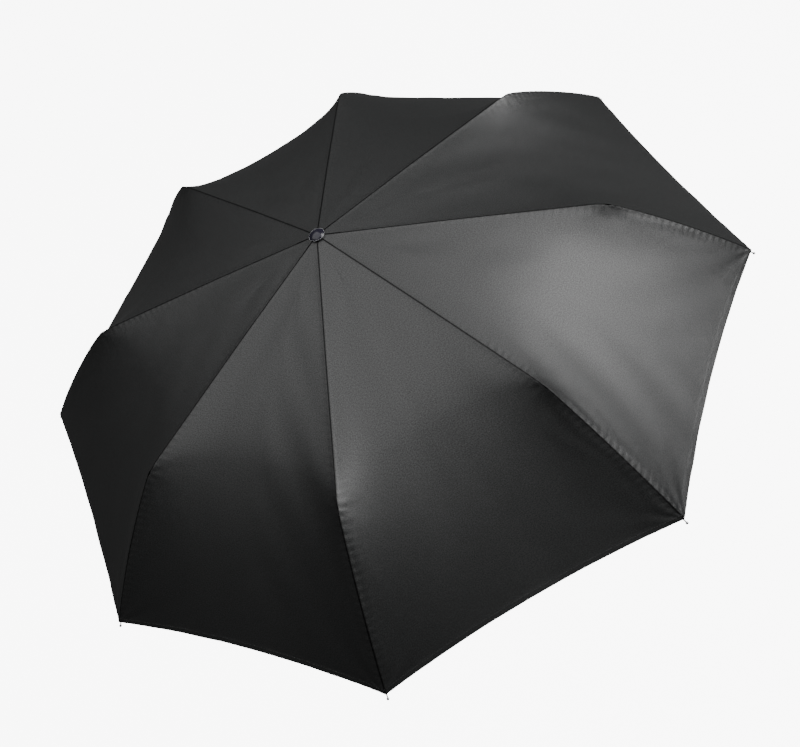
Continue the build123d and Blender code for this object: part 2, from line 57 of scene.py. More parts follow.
OUTER_BOW = 0.005  # the sprung outer rod bows out of straight
ROUNDING = 0.0105  # the cloth rounds the folds over this length
CLOTH_T = 0.0004
HEM_W = 0.007
STITCH_IN = 0.0055  # from the hem's edge to its stitching
SEAM_LAP = 0.0035
ROW_STEP = 0.0017
COLUMNS = 24
RIDGE, GROOVE = 0.0004, 0.0004  # of the seam allowance and of the seam itself
PUCKER, PUCKER_STEP = 0.00026, 0.0095
ELBOW_WRINKLE, ELBOW_DIMPLE = 0.0002, 0.0003
CORNER_WRINKLE = 0.00035
HEM_RIPPLE, HEM_RIPPLE_STEP = 0.00022, 0.0125
BROAD_WAVE = 0.00016
MEMBRANE_ROWS, MEMBRANE_COLUMNS = 81, 20
TENSION = (0.33, 3.2, 0.9)  # pull along the ribs by segment, against 1 across them
HEM_TENSION = 1.15
PONGEE, PONGEE_DEEP = "#191a1a", "#0a0b0b"
# Colour of the painted shade along the seam line.
SEAM_SHADOW = "#030303"
CORNERS = np.array([HOLE, FOLD1, FOLD2, (HEM_R, 0.0)])
SEGMENTS = np.linalg.norm(np.diff(CORNERS, axis=0), axis=1)
FOLDS = np.concatenate([[0.0], np.cumsum(SEGMENTS)])


def linear(text):
    """Linear colour of an sRGB hex code."""
    parts = [int(text[i : i + 2], 16) / 255 for i in (1, 3, 5)]
    return [c / 12.92 if c <= 0.04045 else ((c + 0.055) / 1.055) ** 2.4 for c in parts] + [1.0]


def add(tree, kind, settings=(), links=()):
    """A shader node with its socket values set and its inputs linked."""
    node = tree.nodes.new(kind)
    for name, value in dict(settings).items():
        if isinstance(name, str) and hasattr(node, name) and name not in node.inputs:
            setattr(node, name, value)
        else:
            node.inputs[name].default_value = value
    for name, source in dict(links).items():
        tree.links.new(source, node.inputs[name])
    return node


def new_material(name):
    """A material with an empty tree but for its output."""
    material = bpy.data.materials.new(name)
    material.use_nodes = True
    material.node_tree.nodes.clear()
    return material, material.node_tree


def finish_material(tree, surface):
    add(tree, "ShaderNodeOutputMaterial", links={"Surface": surface.outputs[0]})


def smooth_at(x, known, values):
    """Values at x on a smooth curve through known points."""
    slope = np.gradient(values, known, axis=0)
    i = np.clip(np.searchsorted(known, x) - 1, 0, len(known) - 2)
    step = known[i + 1] - known[i]
    t = (x - known[i]) / step
    shape = (-1,) + (1,) * (values.ndim - 1)
    t, step = t.reshape(shape), step.reshape(shape)
    a = (2 * t**3 - 3 * t**2 + 1) * values[i] + (t**3 - 2 * t**2 + t) * step * slope[i]
    return a + (3 * t**2 - 2 * t**3) * values[i + 1] + (t**3 - t**2) * step * slope[i + 1]


def rib_line(along):
    """Radius and height of the cloth over a rib, at lengths measured from the hole."""
    fine = np.linspace(0, FOLDS[3], 1601)
    r, z = np.interp(fine, FOLDS, CORNERS[:, 0]), np.interp(fine, FOLDS, CORNERS[:, 1])
    share = np.clip((fine - FOLDS[2]) / SEGMENTS[2], 0, 1)
    run = (CORNERS[3] - CORNERS[2]) / SEGMENTS[2]
    bow = 4 * OUTER_BOW * share * (1 - share)
    r, z = r - run[1] * bow, z + run[0] * bow
    step = fine[1] - fine[0]
    half = int(3 * ROUNDING / step)
    weights = np.exp(-0.5 * (np.arange(-half, half + 1) * step / ROUNDING) ** 2)
    weights /= weights.sum()

    def rounded(v):
        ends = np.concatenate([2 * v[0] - v[half:0:-1], v, 2 * v[-1] - v[-2 : -half - 2 : -1]])
        return np.convolve(ends, weights, "valid")

    return np.interp(along, fine, rounded(r)), np.interp(along, fine, rounded(z))


def membrane():
    """Balanced shape of one gore between the ribs at minus and plus half a pitch, row by row."""
    rows, columns = MEMBRANE_ROWS, MEMBRANE_COLUMNS
    along = np.linspace(0, FOLDS[3], rows)
    r, z = rib_line(along)
    side = np.stack([r * math.cos(PITCH / 2), -r * math.sin(PITCH / 2), z], 1)
    share = np.linspace(0, 1, columns + 1)[None, :, None]
    start = side[:, None] * (1 - share) + (side * [1, -1, 1])[:, None] * share
    width = np.linalg.norm(start[:, 1] - start[:, 0], axis=1)
    length = np.linalg.norm(np.diff(side, axis=0), axis=1)
    strip = (np.append(length, 0) + np.append(0, length)) / 2
    across = strip / width
    across[-1] += HEM_TENSION / width[-1]
    number = np.arange(rows * (columns + 1)).reshape(rows, columns + 1)
    middle = (along[1:] + along[:-1]) / 2
    pull = np.choose(np.searchsorted(FOLDS[1:3], middle), TENSION)
    edge = np.ones(columns + 1)
    edge[[0, -1]] = 0.5
    down = (pull * (width[1:] + width[:-1]) / 2 / length)[:, None] * edge[None, :]
    a = np.concatenate([number[:, :-1].ravel(), number[:-1].ravel()])
    b = np.concatenate([number[:, 1:].ravel(), number[1:].ravel()])
    force = np.concatenate([np.repeat(across, columns), down.ravel()])
    whole = np.zeros((number.size, number.size))
    np.add.at(whole, (a, a), force)
    np.add.at(whole, (b, b), force)
    np.add.at(whole, (a, b), -force)
    np.add.at(whole, (b, a), -force)
    held = np.zeros_like(number, bool)
    held[:, [0, -1]] = True
    held[0] = True
    held, points = held.ravel(), start.reshape(-1, 3).copy()
    load = -whole[np.ix_(~held, held)] @ points[held]
    points[~held] = np.linalg.solve(whole[np.ix_(~held, ~held)], load)
    return points.reshape(start.shape)


def half_gore():
    """Fine grid of half a gore in its rib's frame: the rib over +X, the gore's middle toward +Y."""
    coarse = membrane()
    counts = [max(2, round(length / ROW_STEP)) for length in SEGMENTS]
    along = np.concatenate(
        [np.linspace(FOLDS[i], FOLDS[i + 1], counts[i], endpoint=False) for i in range(3)]
        + [[FOLDS[3]]]
    )
    splits = np.concatenate([[0], np.cumsum(counts)])
    r, z = rib_line(along)
    straight = r * math.cos(PITCH / 2)
    near_hem = np.clip((along - FOLDS[2]) / SEGMENTS[2], 0, 1)
    near_hem = near_hem**2 * (3 - 2 * near_hem)
    lines = []
    for j in range(MEMBRANE_COLUMNS + 1):
        path = coarse[:, j]
        target = straight - (straight[-1] - path[-1, 0]) * near_hem
        target = np.clip(target, path[0, 0], path[-1, 0])
        lines.append(smooth_at(target, path[:, 0], path))
    lines[0] = np.stack([straight, -r * math.sin(PITCH / 2), z], 1)
    lines[-1] = lines[0] * [1, -1, 1]
    net = np.stack(lines, 0)
    share = 0.5 * (np.arange(COLUMNS + 1) / COLUMNS) ** 2.2
    grid = smooth_at(share, np.linspace(0, 1, MEMBRANE_COLUMNS + 1), net)
    c, s = math.cos(PITCH / 2), math.sin(PITCH / 2)
    x, y = grid[..., 0] * c - grid[..., 1] * s, grid[..., 0] * s + grid[..., 1] * c
    grid = np.stack([x, y, grid[..., 2] + CORNER_Z], 2)
    return along, splits, grid.transpose(1, 0, 2)


def grid_normals(grid):
    """Outward unit normals of a half gore, level with the middle line's mirror plane there."""
    along = np.gradient(grid, axis=0)
    across = np.gradient(grid, axis=1)
    normal = np.cross(along, across)
    mirror = np.array([-math.sin(PITCH / 2), math.cos(PITCH / 2), 0.0])
    normal[:, -1] -= (normal[:, -1] @ mirror)[:, None] * mirror
    return normal / np.maximum(np.linalg.norm(normal, axis=2, keepdims=True), 1e-12)


def lengths(grid):
    """Distance from the rib line, and from the hem, at every point of a half gore."""
    across = np.zeros(grid.shape[:2])
    across[:, 1:] = np.cumsum(np.linalg.norm(np.diff(grid, axis=1), axis=2), axis=1)
    down = np.zeros(grid.shape[:2])
    down[:-1] = np.cumsum(np.linalg.norm(np.diff(grid, axis=0), axis=2)[::-1], axis=0)[::-1]
    return across, down


def bell(x, width):
    return np.exp(-((x / width) ** 2))


def relief(rng, along, across, down):
    """Height of the seam's ridge and groove, its puckers, the tension folds and the hem's ripples."""
    s = along[:, None] + np.zeros_like(across)
    off_hole = np.clip((s - 0.012) / 0.03, 0, 1)
    height = RIDGE * bell(across, 0.0032) * off_hole
    height -= GROOVE * bell(across, 0.0009) * off_hole
    walk = np.cumsum(rng.normal(0, 0.16, len(along)))[:, None]
    fade = np.exp(-across / 0.006) * (1 - np.exp(-across / 0.0012))
    pucker = PUCKER * np.sin(2 * math.pi * s / PUCKER_STEP + walk)
    loose = 0.45 + 0.55 * np.clip((s - FOLDS[1]) / 0.2, 0, 1)
    height += pucker * fade * loose * off_hole
    for fold, size in ((FOLDS[1], 0.25), (FOLDS[2], 1.0)):
        dx = s - fold
        distance = np.hypot(dx, across)
        turn = np.arctan2(across, dx)
        rise = (1 - bell(distance, 0.006)) * np.exp(-distance / 0.024)
        phase = rng.uniform(0, 6.28)
        height += ELBOW_WRINKLE * size * rise * np.cos(5 * turn + phase)
        height -= ELBOW_DIMPLE * size * bell(distance, 0.0045)
    distance = np.hypot(down, across)
    turn = np.arctan2(across, down + 1e-9)
    rise = (1 - bell(distance, 0.008)) * np.exp(-distance / 0.05)
    height += CORNER_WRINKLE * rise * np.cos(9 * turn + rng.uniform(0, 6.28))
    reach = np.clip((s - FOLDS[2] - 0.008) / 0.03, 0, 1) * np.clip(down / 0.03, 0, 1)
    for offset, size in ((rng.uniform(0.006, 0.010), 0.0006), (rng.uniform(0.016, 0.026), 0.0004)):
        bend = offset * (1 + 0.25 * np.sin(2 * math.pi * s / 0.13 + rng.uniform(0, 6.28)))
        height += size * reach * bell(across - bend, 0.0035 + 0.15 * offset)
    ripple = np.sin(2 * math.pi * across / HEM_RIPPLE_STEP + rng.uniform(0, 6.28))
    height += HEM_RIPPLE * ripple * np.exp(-down / 0.008) * np.clip(across / 0.01, 0, 1)
    inside = np.clip(across / 0.03, 0, 1) * np.clip(s / 0.05, 0, 1)
    for _ in range(4):
        wave, skew = rng.uniform(0.055, 0.11), rng.uniform(-0.7, 0.7)
        phase = rng.uniform(0, 6.28)
        broad = np.sin(2 * math.pi * (across + skew * s) / wave + phase)
        height += BROAD_WAVE * broad * inside
    edge = np.clip(1 - across / across[:, -1:], 0, 1)
    height *= np.where(across < 0.03, 1, np.clip(edge / 0.12, 0, 1))
    height += 0.00012 * (1 / (1 + np.exp(-(HEM_W - down) / 0.0002)) - 1)
    return height


def shell_mesh(name, outer, inner, outer_normals, uv, flip, hem_edge, shades):
    """A closed piece of cloth between two grids, with a rounded edge where the hem folds."""
    rows, columns = outer.shape[:2]
    number = np.arange(rows * columns).reshape(rows, columns)
    below = number + number.size
    points = [outer.reshape(-1, 3), inner.reshape(-1, 3)]
    a, b, c, d = (g.ravel() for g in (number[:-1, :-1], number[1:, :-1], number[1:, 1:], number[:-1, 1:]))
    top = np.stack([a, b, c, d], 1)
    bottom = np.stack([d, c, b, a], 1) + number.size
    walls = []

    def wall(first, second):
        """Faces between an edge of the outer grid and the same edge of the inner one."""
        walls.append(np.stack([first[:-1], second[:-1], second[1:], first[1:]], 1))

    wall(number[:, 0], below[:, 0])
    wall(below[:, -1], number[:, -1])
    wall(below[0], number[0])
    if hem_edge:
        run = outer[-1] - outer[-2]
        run /= np.linalg.norm(run, axis=1)[:, None]
        points.append((outer[-1] + inner[-1]) / 2 + run * 0.00045)
        extra = np.arange(columns) + 2 * number.size
        wall(number[-1], extra)
        wall(extra, below[-1])
    else:
        wall(number[-1], below[-1])
    faces = np.concatenate([top, bottom] + walls)
    if flip:
        faces = faces[:, ::-1]
    points = np.concatenate(points)
    mesh = bpy.data.meshes.new(name)
    mesh.vertices.add(len(points))
    mesh.vertices.foreach_set("co", points.astype(np.float32).ravel())
    mesh.loops.add(faces.size)
    mesh.loops.foreach_set("vertex_index", faces.astype(np.int32).ravel())
    mesh.polygons.add(len(faces))
    mesh.polygons.foreach_set("loop_start", np.arange(0, faces.size, 4, dtype=np.int32))
    mesh.polygons.foreach_set("loop_total", np.full(len(faces), 4, np.int32))
    mesh.polygons.foreach_set("use_smooth", np.ones(len(faces), bool))
    mesh.update(calc_edges=True)
    flat = uv.reshape(-1, 2)
    plane = np.concatenate([flat, flat, uv[-1]]) if hem_edge else np.concatenate([flat, flat])
    layer = mesh.uv_layers.new(name="cloth")
    layer.data.foreach_set("uv", plane[faces.ravel()].astype(np.float32).ravel())
    near = shades.reshape(-1)
    near = np.concatenate([near, near, shades[-1]]) if hem_edge else np.concatenate([near, near])
    mesh.attributes.new("seam", "FLOAT", "POINT").data.foreach_set("value", near.astype(np.float32))
    normals = np.zeros((faces.size, 3))
    count = top.size
    up = outer_normals.reshape(-1, 3)
    sheet = faces[: len(top)].ravel()
    normals[:count] = up[sheet]
    normals[count : 2 * count] = -up[faces[len(top) : 2 * len(top)].ravel() - number.size]
    rest = faces[2 * len(top) :]
    p = points[rest]
    facing = np.cross(p[:, 2] - p[:, 0], p[:, 3] - p[:, 1])
    facing /= np.maximum(np.linalg.norm(facing, axis=1)[:, None], 1e-12)
    normals[2 * count :] = np.repeat(facing, 4, axis=0)
    mesh.normals_split_custom_set(normals.tolist())
    return mesh


def place(name, mesh, material):
    """An object at the origin with that mesh and material."""
    item = bpy.data.objects.new(name, mesh)
    bpy.context.scene.collection.objects.link(item)
    item.data.materials.append(material)
    return item


def turned(points, number, side=1):
    """Points from a rib's own frame to its place; side -1 mirrors them over the rib's plane."""
    angle = PITCH * (number - 1)
    x, y = points[..., 0], points[..., 1] * side
    c, s = math.cos(angle), math.sin(angle)
    return np.stack([x * c - y * s, x * s + y * c, points[..., 2]], -1)


# Making gives the eye: a fine plain weave with a soft satin sheen, and painted shade along the seam line,
# where the colour is darkened and the specular cut.
pongee, tree = new_material("polyester pongee, black")
place_uv = add(tree, "ShaderNodeUVMap", {"uv_map": "cloth"})
thread = add(tree, "ShaderNodeMapping", {"Scale": (1800.0, 1800.0, 1.0)}, {"Vector": place_uv.outputs[0]})
warp = add(
    tree,
    "ShaderNodeTexWave",
    {"bands_direction": "X", "Scale": 0.31, "Distortion": 0.6, "Detail": 1.0, "Detail Scale": 0.4},
    {"Vector": thread.outputs[0]},
)
weft = add(
    tree,
    "ShaderNodeTexWave",
    {"bands_direction": "Y", "Scale": 0.31, "Distortion": 0.6, "Detail": 1.0, "Detail Scale": 0.4},
    {"Vector": thread.outputs[0]},
)
weave = add(tree, "ShaderNodeMath", {"operation": "ADD"}, {0: warp.outputs["Fac"], 1: weft.outputs["Fac"]})
slub_place = add(tree, "ShaderNodeMapping", {"Scale": (160.0, 1300.0, 1.0)}, {"Vector": place_uv.outputs[0]})
slubs = add(tree, "ShaderNodeTexNoise", {"Scale": 1.0, "Detail": 3.0}, {"Vector": slub_place.outputs[0]})
creases = add(tree, "ShaderNodeTexNoise", {"Scale": 38.0, "Detail": 4.0}, {"Vector": place_uv.outputs[0]})
seam = add(tree, "ShaderNodeAttribute", {"attribute_name": "seam"})
threads = add(tree, "ShaderNodeTexNoise", {"Scale": 700.0, "Detail": 2.0}, {"Vector": place_uv.outputs[0]})
streaks = add(
    tree,
    "ShaderNodeMix",
    {"data_type": "RGBA", 6: linear(PONGEE_DEEP), 7: linear(PONGEE)},
    {"Factor": threads.outputs["Fac"]},
)
# Painted shade: the colour is darkened toward SEAM_SHADOW along the seam line.
shade = add(
    tree,
    "ShaderNodeMix",
    {"data_type": "RGBA", 7: linear(SEAM_SHADOW)},
    {"Factor": seam.outputs["Fac"], 6: streaks.outputs[2]},
)
dull = add(
    tree,
    "ShaderNodeMapRange",
    {"From Min": 0.3, "From Max": 0.7, "To Min": 0.43, "To Max": 0.54},
    {"Value": slubs.outputs["Fac"]},
)
lustre = add(
    tree,
    "ShaderNodeMapRange",
    {"From Min": 0.3, "From Max": 0.7, "To Min": 0.44, "To Max": 0.82},
    {"Value": threads.outputs["Fac"]},
)
# Painted shade: the specular is cut along the seam line as well.
seam_shade_spec_cut = add(tree, "ShaderNodeMapRange", {"To Min": 1.0, "To Max": 0.08}, {"Value": seam.outputs["Fac"]})
shine = add(
    tree,
    "ShaderNodeMath",
    {"operation": "MULTIPLY"},
    {0: lustre.outputs[0], 1: seam_shade_spec_cut.outputs[0]},
)
low = add(tree, "ShaderNodeBump", {"Strength": 0.25, "Distance": 0.0008}, {"Height": creases.outputs["Fac"]})
fine = add(
    tree,
    "ShaderNodeBump",
    {"Strength": 0.22, "Distance": 0.00012},
    {"Height": weave.outputs[0], "Normal": low.outputs[0]},
)
cloth_look = add(
    tree,
    "ShaderNodeBsdfPrincipled",
    {},
    {
        "Base Color": shade.outputs[2],
        "Roughness": dull.outputs[0],
        "Specular IOR Level": shine.outputs[0],
        "Normal": fine.outputs[0],
    },
)
finish_material(tree, cloth_look)

ALONG, SPLITS, BASE = half_gore()
BASE_NORMALS = grid_normals(BASE)
ACROSS, DOWN = lengths(BASE)
# Mask of the painted seam shade, a narrow band along the rib line.
SEAM_SHADE = bell(ACROSS, 0.0010)
rng = np.random.default_rng(11)
PARTS = (("top_rib", "upper"), ("middle_rib", "middle"), ("outer_rib", "outer"))
RUN = []
for i in range(3):
    run = np.array([CORNERS[i + 1][0] - CORNERS[i][0], 0.0, CORNERS[i + 1][1] - CORNERS[i][1]])
    RUN.append(run / np.linalg.norm(run))
hem_lines = {}
for rib in range(1, RIBS + 1):
    for side, hand in ((1, "l"), (-1, "r")):
        raised = BASE + BASE_NORMALS * relief(rng, ALONG, ACROSS, DOWN)[..., None]
        raised[:, 0, 1] = 0.0
        normals = grid_normals(raised)
        thick = CLOTH_T + 0.0005 * (ACROSS < SEAM_LAP) + 0.0005 * (DOWN < HEM_W)
        lower = raised - normals * thick[..., None]
        lower[:, 0, 1] = 0.0
        plane = np.stack([ACROSS, ALONG[:, None] + 0 * ACROSS], 2)
        plane += rng.uniform(0, 1, 2)
        for i, (segment, word) in enumerate(PARTS):
            rows = slice(SPLITS[i], SPLITS[i + 1] + 1)
            name = f"cloth_{word}_{rib}{hand}"
            mesh = shell_mesh(
                name,
                turned(raised[rows], rib, side),
                turned(lower[rows], rib, side),
                turned(normals[rows], rib, side),
                plane[rows],
                side < 0,
                i == 2,
                SEAM_SHADE[rows],
            )
            piece = place(name, mesh, pongee)
            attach(piece, f"{segment}_{rib}")
            middle = (BASE[SPLITS[i], -1] + BASE[SPLITS[i + 1], -1]) / 2
            start = BASE[SPLITS[i + 1], 0]
            away = (middle - start) - np.dot(middle - start, RUN[i]) * RUN[i]
            away = turned(away, rib, side)
            anchor = turned(start, rib, side)
            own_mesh(piece)
        if rib == 1 and side > 0:
            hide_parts("canopy")
        order = np.arange(len(ALONG))[::-1]
        edge = np.array([np.interp(STITCH_IN, DOWN[::-1, j], order) for j in range(COLUMNS + 1)])
        row = np.clip(edge.astype(int), 0, len(ALONG) - 2)
        part = (edge - row)[:, None]
        j = np.arange(COLUMNS + 1)
        line = raised[row, j] * (1 - part) + raised[row + 1, j] * part + normals[row, j] * 0.00008
        hem_lines[rib, hand] = (turned(line, rib, side), away, anchor)

# ---------------------------------------------------------------- hem stitching
# A single row of black polyester lockstitch holds the double-folded hem, 5.5 mm in from the edge.
STITCH, STITCH_GAP, THREAD_R = 0.0022, 0.0032, 0.00022
thread_black, tree = new_material("polyester thread, black")
thread_look = add(
    tree,
    "ShaderNodeBsdfPrincipled",
    {"Base Color": linear("#1c1c1d"), "Roughness": 0.55, "Sheen Weight": 0.3},
)
finish_material(tree, thread_look)


def stitch_nodes():
    """Stitches every so far along a line, each a small rounded bar laid along it."""
    tree = bpy.data.node_groups.new("stitches", "GeometryNodeTree")
    tree.interface.new_socket("Line", in_out="INPUT", socket_type="NodeSocketGeometry")
    for name in ("Spacing", "Length", "Radius"):
        tree.interface.new_socket(name, in_out="INPUT", socket_type="NodeSocketFloat")
    tree.interface.new_socket("Thread", in_out="INPUT", socket_type="NodeSocketMaterial")
    tree.interface.new_socket("Stitches", in_out="OUTPUT", socket_type="NodeSocketGeometry")
    given = add(tree, "NodeGroupInput")
    curve = add(tree, "GeometryNodeMeshToCurve", links={"Mesh": given.outputs["Line"]})
    even = add(
        tree,
        "GeometryNodeResampleCurve",
        {"mode": "LENGTH"},
        {"Curve": curve.outputs[0], "Length": given.outputs["Spacing"]},
    )
    bead = add(tree, "GeometryNodeMeshUVSphere", {"Segments": 6, "Rings": 4, "Radius": 1.0})
    tangent = add(tree, "GeometryNodeInputTangent")
    turn = add(tree, "FunctionNodeAlignRotationToVector", {"axis": "X"}, {"Vector": tangent.outputs[0]})
    half = add(tree, "ShaderNodeMath", {"operation": "MULTIPLY", 1: 0.5}, {0: given.outputs["Length"]})
    size = add(
        tree,
        "ShaderNodeCombineXYZ",
        links={"X": half.outputs[0], "Y": given.outputs["Radius"], "Z": given.outputs["Radius"]},
    )
    laid = add(
        tree,
        "GeometryNodeInstanceOnPoints",
        links={
            "Points": even.outputs[0],
            "Instance": bead.outputs["Mesh"],
            "Rotation": turn.outputs[0],
            "Scale": size.outputs[0],
        },
    )
    real = add(tree, "GeometryNodeRealizeInstances", links={"Geometry": laid.outputs[0]})
    coloured = add(
        tree,
        "GeometryNodeSetMaterial",
        links={"Geometry": real.outputs[0], "Material": given.outputs["Thread"]},
    )
    add(tree, "NodeGroupOutput", links={"Stitches": coloured.outputs[0]})
    return tree


def stitched(name, line, tree, sizes, material):
    """One mesh of stitches along a line of points."""
    mesh = bpy.data.meshes.new(name)
    mesh.from_pydata(line.tolist(), [(i, i + 1) for i in range(len(line) - 1)], [])
    item = bpy.data.objects.new(name, mesh)
    bpy.context.scene.collection.objects.link(item)
    maker = item.modifiers.new("stitches", "NODES")
    maker.node_group = tree
    sockets = {s.name: s.identifier for s in tree.interface.items_tree if s.in_out == "INPUT"}
    for word, value in sizes.items():
        maker[sockets[word]] = value
    maker[sockets["Thread"]] = material
    bpy.context.view_layer.update()
    ready = item.evaluated_get(bpy.context.evaluated_depsgraph_get())
    made = bpy.data.meshes.new_from_object(ready)
    item.modifiers.clear()
    item.data = made
    made.polygons.foreach_set("use_smooth", np.ones(len(made.polygons), bool))
    return item


stitches = stitch_nodes()
sizes = {"Spacing": STITCH_GAP, "Length": STITCH, "Radius": THREAD_R}
for (rib, hand), (line, away, anchor) in hem_lines.items():
    piece = stitched(f"hem_stitches_{rib}{hand}", line, stitches, sizes, thread_black)
    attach(piece, f"outer_rib_{rib}")
    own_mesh(piece)

# ---------------------------------------------------------------- outer ribs
# Each outer rib is a sprung black rod in a pressed ferrule, with a turned metal tip and ball
# that sticks out past the hem, where the cloth's corner is sewn to it.
PIN_FOLD2 = (0.334493, 0.421359)  # radius and height of the outer rib's pin, as in its CAD part
OUTER_SLOPE = math.radians(-42.419)
OUTER_LEN = 0.20768  # from that pin to the rod's end
ROD_R, ROD_ROOT, ROD_RISE = 0.0011, 0.006, 0.0022
TIP_R, TIP_SOCKET, NECK_R, BALL_R, BALL_OUT = 0.00165, 0.009, 0.00085, 0.0017, 0.0065


def tube(path, radii, sides=16):
    """A closed round bar along a path of points in the X-Z plane, with a radius at each point."""
    path, radii = np.array(path, float), np.array(radii, float)
    run = np.gradient(path, axis=0)
    run /= np.linalg.norm(run, axis=1)[:, None]
    out = np.stack([-run[:, 2], 0 * run[:, 0], run[:, 0]], 1)
    turn = np.linspace(0, 2 * math.pi, sides, endpoint=False)
    ring = out[:, None] * np.cos(turn)[None, :, None]
    ring = ring + np.array([0, 1.0, 0]) * np.sin(turn)[None, :, None]
    points = path[:, None] + ring * radii[:, None, None]
    rows = len(path)
    faces = []
    for i in range(rows - 1):
        for j in range(sides):
            k = (j + 1) % sides
            faces.append((i * sides + j, i * sides + k, (i + 1) * sides + k, (i + 1) * sides + j))
    faces.append(tuple(range(sides))[::-1])
    faces.append(tuple((rows - 1) * sides + j for j in range(sides)))
    return points.reshape(-1, 3), faces


def join_parts(name, parts, smooth_angle=40):
    """One mesh of several lists of points and faces, smooth but for its sharp edges."""
    points, faces = [], []
    for part_points, part_faces in parts:
        first = len(points)
        points += [tuple(p) for p in part_points]
        faces += [tuple(first + i for i in face) for face in part_faces]
    mesh = bpy.data.meshes.new(name)
    mesh.from_pydata(points, [], faces)
    mesh.update()
    mesh.polygons.foreach_set("use_smooth", np.ones(len(mesh.polygons), bool))
    mesh.set_sharp_from_angle(angle=math.radians(smooth_angle))
    return mesh


def rod_arc(share):
    """Point of the rod's centreline in the outer rib's own frame, and past its end."""
    root, tip = np.array([ROD_ROOT, ROD_RISE]), np.array([OUTER_LEN, 0.0])
    run = tip - root
    out = np.array([-run[1], run[0]]) / np.linalg.norm(run)
    return root + run * share + out * 4 * OUTER_BOW * share * (1 - share)


def outer_frame(points):
    """Points of the outer rib's own frame, along and square to it, at rib 1."""
    c, s = math.cos(OUTER_SLOPE), math.sin(OUTER_SLOPE)
    x, z = points[..., 0], points[..., 2]
    return np.stack([PIN_FOLD2[0] + x * c - z * s, points[..., 1], PIN_FOLD2[1] + x * s + z * c], -1)


rod_steel, tree = new_material("black e-coated spring steel")
rod_look = add(
    tree,
    "ShaderNodeBsdfPrincipled",
    {"Base Color": linear("#141416"), "Metallic": 0.2, "Roughness": 0.38},
)
finish_material(tree, rod_look)
tip_metal, tree = new_material("nickel-plated tip")
tip_look = add(
    tree,
    "ShaderNodeBsdfPrincipled",
    {"Base Color": linear("#8f9092"), "Metallic": 1.0, "Roughness": 0.32},
)
finish_material(tree, tip_look)

shares = np.linspace(0, 1, 41)
rod_path = [(p[0], 0.0, p[1]) for p in (rod_arc(v) for v in shares)]
rod = tube(rod_path, np.full(41, ROD_R))
ferrule_path = [(p[0], 0.0, p[1]) for p in (rod_arc(v) for v in np.linspace(-0.008, 0.05, 9))]
ferrule_r = [0.0007, 0.0014, 0.0015, 0.0016, 0.0016, 0.0016, 0.0016, 0.0016, 0.00145]
ferrule = tube(ferrule_path, ferrule_r, 20)
eye_turn = np.linspace(0, 2 * math.pi, 20, endpoint=False)
eye_points = [(0.0017 * math.cos(a), y, 0.0017 * math.sin(a)) for y in (-0.00115, 0.00115) for a in eye_turn]
eye_faces = [(j, (j + 1) % 20, 20 + (j + 1) % 20, 20 + j) for j in range(20)]
eye_faces += [tuple(range(20))[::-1], tuple(range(20, 40))]
link = tube([(0.0008, 0, 0.0), (0.0035, 0, 0.0009), (0.0062, 0, 0.0021)], [0.0011] * 3, 12)
tip_at = rod_arc(1.0)
tip_dir = rod_arc(1.0) - rod_arc(0.999)
tip_dir /= np.linalg.norm(tip_dir)
profile = [
    (-TIP_SOCKET, 0.0012),
    (-TIP_SOCKET + 0.0004, TIP_R),
    (-0.002, TIP_R),
    (0.0, 0.0013),
    (0.0012, NECK_R),
]
profile += [(BALL_OUT - BALL_R * 1.1, NECK_R * 0.85)]
profile += [
    (BALL_OUT - BALL_R * math.cos(a), BALL_R * math.sin(a)) for a in np.linspace(0.5, math.pi - 0.08, 11)
]
tip_path = [(tip_at[0] + d * tip_dir[0], 0.0, tip_at[1] + d * tip_dir[1]) for d, _ in profile]
tip_part = tube(tip_path, [r for _, r in profile], 16)
for rib in range(1, RIBS + 1):
    parts = []
    for points, faces in (rod, ferrule, (eye_points, eye_faces), link):
        parts.append((turned(outer_frame(np.array(points)), rib), faces))
    piece = place(f"rod_{rib}", join_parts(f"rod_{rib}", parts), rod_steel)
    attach(piece, f"outer_rib_{rib}")
    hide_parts(f"outer_rib_{rib}")
    placed = (turned(outer_frame(np.array(tip_part[0])), rib), tip_part[1])
    piece = place(f"tip_{rib}", join_parts(f"tip_{rib}", [placed], 50), tip_metal)
    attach(piece, f"outer_rib_{rib}")

# ---------------------------------------------------------------- tie strap
# A folded strip of the canopy's cloth lies on it beside rib 4, with a square of hook tape sewn
# on its free end. On a real umbrella it goes round the folded cloth; here it stays beside its rib.
STRAP_RIB, STRAP_SIDE = 4, -1
STRAP_FROM, STRAP_LEN, STRAP_W = 0.009, 0.150, 0.020
STRAP_OFF, STRAP_T, PATCH_LEN, PATCH_T = 0.005, 0.0010, 0.032, 0.0012
STRAP_LIFT = 0.0012  # clear of the cloth
hook_tape, tree = new_material("nylon hook tape, black")
hook_place = add(tree, "ShaderNodeTexCoord")
hooks = add(tree, "ShaderNodeTexVoronoi", {"Scale": 900.0}, {"Vector": hook_place.outputs["Object"]})
hook_bump = add(
    tree,
    "ShaderNodeBump",
    {"Strength": 0.9, "Distance": 0.0004},
    {"Height": hooks.outputs["Distance"]},
)
hook_look = add(
    tree,
    "ShaderNodeBsdfPrincipled",
    {"Base Color": linear("#1d1d1e"), "Roughness": 0.7},
    {"Normal": hook_bump.outputs[0]},
)
finish_material(tree, hook_look)


def on_cloth(down, off):
    """Point and normal of the plain cloth at a distance from the hem and from the rib line."""
    row = np.interp(down, DOWN[::-1, 0], np.arange(len(ALONG))[::-1])
    i = int(min(row, len(ALONG) - 2))
    t = row - i
    a = np.array([np.interp(off, ACROSS[i], BASE[i, :, k]) for k in range(3)])
    b = np.array([np.interp(off, ACROSS[i + 1], BASE[i + 1, :, k]) for k in range(3)])
    n = np.array([np.interp(off, ACROSS[i], BASE_NORMALS[i, :, k]) for k in range(3)])
    return a * (1 - t) + b * t, n / np.linalg.norm(n)


